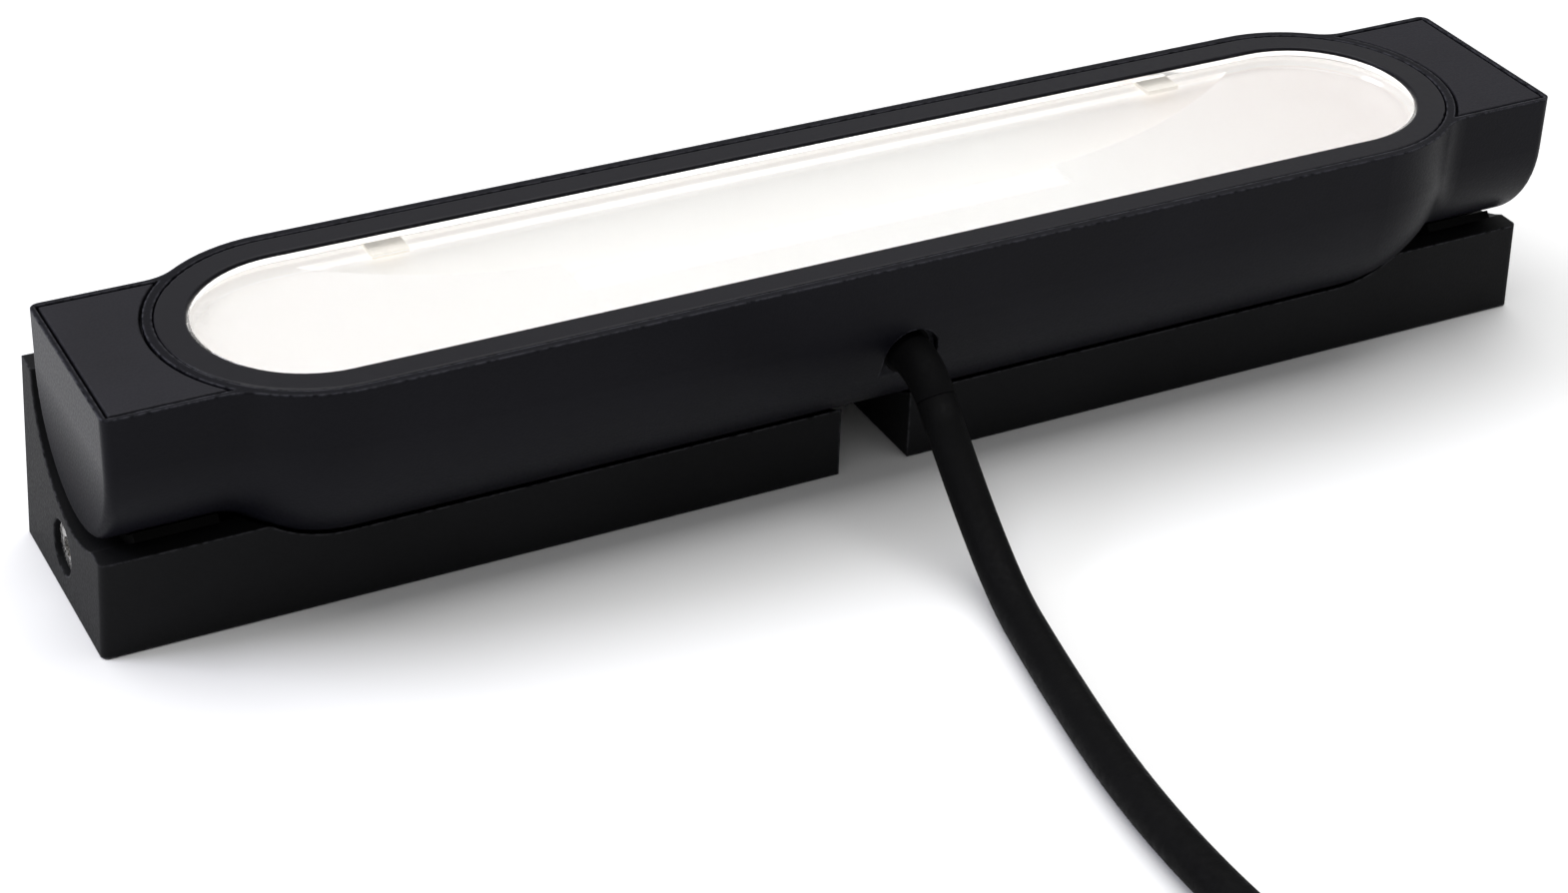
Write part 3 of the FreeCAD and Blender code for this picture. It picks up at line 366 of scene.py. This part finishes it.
def powder_coat(name, colour, roughness, grain, depth, edge, specular, drier_ends=False):
    """Black powder coat: fine grain, uneven gloss, and edges painted a little lighter, partly as
    rubbed wear and partly as a painted highlight.
    """
    finish = Finish(name, colour, roughness, Specular_IOR_Level=specular)
    near_edge = finish.soft_edges(radius=0.0006)
    patches = finish.remap(finish.noise(per_metre=38, detail=4), 0.35, 0.65)
    body = finish.blend(patches, colour, scaled(colour, 1.35))
    # edges painted lighter: partly rubbed wear, partly a painted highlight where the rounded
    # edges catch the light
    edge_breakup = finish.remap(finish.noise(per_metre=900, detail=4), 0.36, 0.58)
    wear_and_highlight = finish.reckon("MULTIPLY", near_edge, edge_breakup)
    finish.colour(finish.blend(wear_and_highlight, body, edge))
    gloss = finish.uneven(finish.noise(per_metre=2600), roughness, 0.06, 0.07)
    finish.rough(dry_ends(finish, gloss) if drier_ends else gloss)
    finish.bump(finish.cells(grain), depth, strength=0.8)
    finish.bump(finish.noise(1.7 * grain, detail=2), 0.6 * depth, strength=0.6)
    return finish.material


def smooth_coat(name, colour, roughness, specular):
    """Smoother satin paint of the window frame, with a painted highlight along its edges."""
    finish = Finish(name, colour, roughness, Specular_IOR_Level=specular)
    near_edge = finish.soft_edges(radius=0.00035)
    # painted highlight: the paint made 4.5 times lighter at the edges
    finish.colour(finish.blend(near_edge, colour, scaled(colour, 4.5)))
    finish.rough(finish.uneven(finish.noise(per_metre=700), roughness, 0.05, 0.05))
    finish.bump(finish.noise(per_metre=3800, detail=2), depth=0.000006, strength=0.5)
    return finish.material


def bare_metal(name, colour, roughness, brushed=(1, 1, 1)):
    """Plated or bare metal with fine drawn lines."""
    finish = Finish(name, colour, roughness, metallic=1.0)
    finish.colour(finish.blend(finish.noise(per_metre=160, detail=4), scaled(colour, 0.82),
                               colour))
    lines = finish.noise(per_metre=1500, stretch=brushed)
    finish.rough(finish.uneven(lines, roughness, 0.08, 0.1))
    finish.bump(lines, depth=0.00001, strength=0.5)
    return finish.material


def plain_moulding(name, colour, roughness, grain=1800, depth=0.00001, **sockets):
    """Moulded plastic, rubber or ceramic with a faint even grain."""
    finish = Finish(name, colour, roughness, **sockets)
    tone = finish.remap(finish.noise(per_metre=90), 0.3, 0.7)
    finish.colour(finish.blend(tone, scaled(colour, 0.86), colour))
    finish.rough(finish.uneven(finish.noise(grain / 3, detail=2), roughness, 0.06, 0.06))
    finish.bump(finish.noise(grain), depth, strength=0.6)
    return finish.material


def lead_sheath():
    """Matt black rubber sheath with a fine grain and faintly uneven tone."""
    finish = Finish("lead_sheath", (0.003, 0.003, 0.0033), 0.62, Specular_IOR_Level=0.04)
    finish.colour(finish.blend(finish.noise(per_metre=220), (0.0026, 0.0026, 0.0028),
                               (0.0044, 0.0044, 0.0046)))
    finish.rough(finish.remap(finish.noise(per_metre=900), 0.3, 0.7, 0.5, 0.72))
    finish.bump(finish.noise(per_metre=2400), depth=0.00004, strength=0.7)
    return finish.material


def satin_pane():
    """Lightly frosted pane, whose frosted upright edges are given a painted glow standing for
    the light of the lamp.
    """
    finish = Finish("satin_pane", (1.0, 0.995, 0.985), 0.08, Transmission_Weight=1.0, IOR=1.45,
                    Emission_Strength=0.45)
    facing = finish.add("ShaderNodeNewGeometry").outputs["Normal"]
    upright = finish.reckon("ABSOLUTE", finish.axes(facing)[2])
    # painted glow: emission on the upright edges of the pane, none on its faces
    edge_glow_mask = finish.remap(upright, 0.6, 0.4)
    finish.feed(finish.blend(edge_glow_mask, (0.0, 0.0, 0.0), (1.0, 0.99, 0.975)),
                finish.shader.inputs["Emission Color"])
    finish.rough(finish.remap(finish.noise(per_metre=1200, detail=2), 0.3, 0.7, 0.07, 0.12))
    finish.bump(finish.noise(per_metre=2500, detail=2), depth=0.000004, strength=0.4)
    return finish.material


def under_frame(finish):
    """0 in the open window, 1 past its sight edge, where only the lamp lights a surface; it
    masks the painted glow added there.
    """
    along, across, _ = finish.axes(finish.place)
    past = finish.reckon("SUBTRACT", finish.reckon("ABSOLUTE", along), BULGE_CENTRE, clamp=True)
    flat = finish.add("ShaderNodeCombineXYZ")
    finish.feed(past, flat.inputs["X"])
    finish.feed(across, flat.inputs["Y"])
    reach = finish.add("ShaderNodeVectorMath", operation="LENGTH")
    finish.feed(flat.outputs["Vector"], reach.inputs[0])
    return finish.remap(reach.outputs["Value"], SIGHT_RADIUS - 0.0014, SIGHT_RADIUS + 0.0002)


def lit(name, colour, strength, warm=None, base=(0.85, 0.85, 0.84), roughness=0.5, rim=None):
    """Surface with an emission glow: on the lamp its own light, elsewhere a painted glow
    standing for the lamp's light, painted warmer and dimmer towards the ends.
    """
    finish = Finish(name, base, roughness, Emission_Strength=strength)
    along = finish.axes(finish.place)[0]
    glow = colour
    # painted shade: the glow made warmer and dimmer towards the ends, away from the lamp
    for start, end, most in ((-0.045, -0.105, 0.4), (0.035, 0.095, 1.0)):
        share = finish.remap(along, start, end, 0.0, most)
        glow = finish.blend(share, glow, warm or colour)
    # painted light: a brighter glow past the frame's sight edge, where the frame shades the
    # surface
    if rim:
        glow = finish.blend(under_frame(finish), glow, rim)
    finish.feed(glow, finish.shader.inputs["Emission Color"])
    finish.bump(finish.noise(per_metre=600, detail=2), depth=0.000004, strength=0.3)
    return finish.material


# edge: the colour of the edges, partly rubbed wear and partly a painted highlight
BLACK_CRADLE = powder_coat("black_cradle", (0.0064, 0.0065, 0.0071), 0.55, grain=2600,
                           depth=0.00003, edge=(0.065, 0.065, 0.072), specular=0.06)
BLACK_HOUSING = powder_coat("black_housing", (0.0034, 0.0034, 0.0054), 0.38, grain=2400,
                            depth=0.000025, edge=(0.065, 0.065, 0.078), specular=0.075,
                            drier_ends=True)
BLACK_COVER = powder_coat("black_cover", (0.0075, 0.0072, 0.0102), 0.60, grain=1500,
                          depth=0.00005, edge=(0.026, 0.026, 0.032), specular=0.18)
BLACK_FRAME = smooth_coat("black_frame", (0.0055, 0.0053, 0.0078), 0.35, specular=0.18)
STEEL = bare_metal("bright_steel", (0.68, 0.67, 0.65), 0.26)
ZINC = bare_metal("zinc_plate", (0.58, 0.59, 0.6), 0.36, brushed=(1, 8, 8))
SPRING = bare_metal("spring_steel", (0.42, 0.42, 0.41), 0.3)
BRASS = bare_metal("turned_brass", (0.78, 0.58, 0.28), 0.25)
NICKEL = bare_metal("nickel_pin", (0.76, 0.75, 0.72), 0.16, brushed=(1, 12, 12))
RIVET = bare_metal("rivet_aluminium", (0.8, 0.8, 0.81), 0.3)
LINER = plain_moulding("acetal_liner", (0.002, 0.002, 0.002), 0.6, Specular_IOR_Level=0.03)
GASKET = plain_moulding("silicone_gasket", (0.62, 0.6, 0.56), 0.55)
RUBBER = plain_moulding("boot_rubber", (0.0032, 0.0032, 0.0035), 0.62, grain=2400,
                        depth=0.00004, Specular_IOR_Level=0.04)
BLACK_NYLON = plain_moulding("black_nylon", (0.02, 0.02, 0.021), 0.45)
PLUG = plain_moulding("plug_moulding", (0.01, 0.01, 0.011), 0.5, grain=1600, depth=0.00004,
                      Specular_IOR_Level=0.35)
WHITE_NYLON = plain_moulding("white_nylon", (0.78, 0.78, 0.75), 0.45)
BROWN_CORE = plain_moulding("brown_core", (0.16, 0.055, 0.02), 0.4)
BLUE_CORE = plain_moulding("blue_core", (0.015, 0.11, 0.42), 0.4)
WHITE_SLEEVE = plain_moulding("white_sleeve", (0.8, 0.79, 0.76), 0.6)
SHEATH = lead_sheath()
PANE = satin_pane()
# Painted glow: the reflector, the ceramic caps and holders and the clips emit light standing for
# the lamp's; only the lamp glass is the lamp itself.
WHITE_ENAMEL_PAINTED_GLOW = lit("white_enamel_painted_glow", (0.40, 0.394, 0.386), 0.70, warm=(0.31, 0.245, 0.228),
                   rim=(0.80, 0.765, 0.74))
CERAMIC_PAINTED_GLOW = lit("ceramic_painted_glow", (1.0, 0.96, 0.9), 0.3)
LAMP_GLOW = lit("lamp_glow", (1.0, 0.99, 0.97), 0.36)
CLIP_PAINTED_GLOW = lit("coated_clip_painted_glow", (0.80, 0.76, 0.70), 0.50, base=(0.72, 0.70, 0.65))

BY_SLOT = {
    "cradle_paint": BLACK_CRADLE, "housing_paint": BLACK_HOUSING, "cover_paint": BLACK_COVER,
    "frame_paint": BLACK_FRAME, "zinc_steel": ZINC, "screw_steel": STEEL,
    "spring_steel": SPRING, "liner_plastic": LINER, "rivet_aluminium": RIVET,
    "satin_glass": PANE, "lamp_glass": LAMP_GLOW, "gasket_silicone": GASKET,
    "clip_sleeve": CLIP_PAINTED_GLOW, "reflector_white": WHITE_ENAMEL_PAINTED_GLOW, "cap_ceramic": CERAMIC_PAINTED_GLOW,
    "holder_ceramic": CERAMIC_PAINTED_GLOW, "contact_brass": BRASS, "terminal_plastic": WHITE_NYLON,
    "gland_rubber": RUBBER, "nut_plastic": BLACK_NYLON, "core_brown": BROWN_CORE,
    "core_blue": BLUE_CORE, "lead_silicone": WHITE_SLEEVE, "cable_rubber": SHEATH,
    "plug_plastic": PLUG, "pin_nickel": NICKEL,
}


def dress(piece, material):
    """Give a piece one material."""
    piece.data.materials.clear()
    piece.data.materials.append(material)


for row in frame["record"]["subparts"]:
    dress(frame["nodes"][row["node"]], BY_SLOT[row["material_slot"]])
dress(lead, SHEATH)
for spring in springs:
    dress(spring, SPRING)

# ------------------------------------------------------------------- studio


def make_floor():
    """Wide pale table top."""
    mesh = bmesh.new()
    bmesh.ops.create_grid(mesh, x_segments=4, y_segments=4, size=3.0)
    floor = as_object("floor", mesh, smooth=False)
    floor.location = (0, 0, -0.0002)
    finish = Finish("pale_table", (0.9, 0.9, 0.9), 0.8, Specular_IOR_Level=0.1)
    finish.colour(finish.blend(finish.noise(per_metre=3, detail=2), (0.90, 0.90, 0.90),
                               (0.93, 0.93, 0.93)))
    dress(floor, finish.material)


def softbox(name, place, aim, width, height, power, colour=(1.0, 1.0, 1.0)):
    """Large soft area light aimed at a point."""
    data = bpy.data.lights.new(name, "AREA")
    data.shape = "RECTANGLE"
    data.size, data.size_y = width, height
    data.energy = power
    data.color = colour
    light = bpy.data.objects.new(name, data)
    light.location = place
    light.rotation_euler = (Vector(aim) - Vector(place)).to_track_quat("-Z", "Y").to_euler()
    bpy.context.scene.collection.objects.link(light)


def make_studio():
    """Even pale surroundings, one broad light overhead and one from the left."""
    world = bpy.data.worlds.new("studio")
    world.use_nodes = True
    sky = world.node_tree.nodes["Background"]
    sky.inputs["Color"].default_value = (1.0, 1.0, 1.0, 1.0)
    sky.inputs["Strength"].default_value = 0.45
    bpy.context.scene.world = world
    bpy.context.scene.view_settings.view_transform = "Standard"
    softbox("overhead", place=(0.0, 0.25, 1.5), aim=(0, 0, 0), width=1.8, height=1.4,
            power=24.0)
    softbox("from_left", place=(-0.9, 0.35, 0.62), aim=(-0.12, 0, 0.03), width=0.45,
            height=0.45, power=5.4, colour=(0.86, 0.87, 1.0))


make_floor()
make_studio()
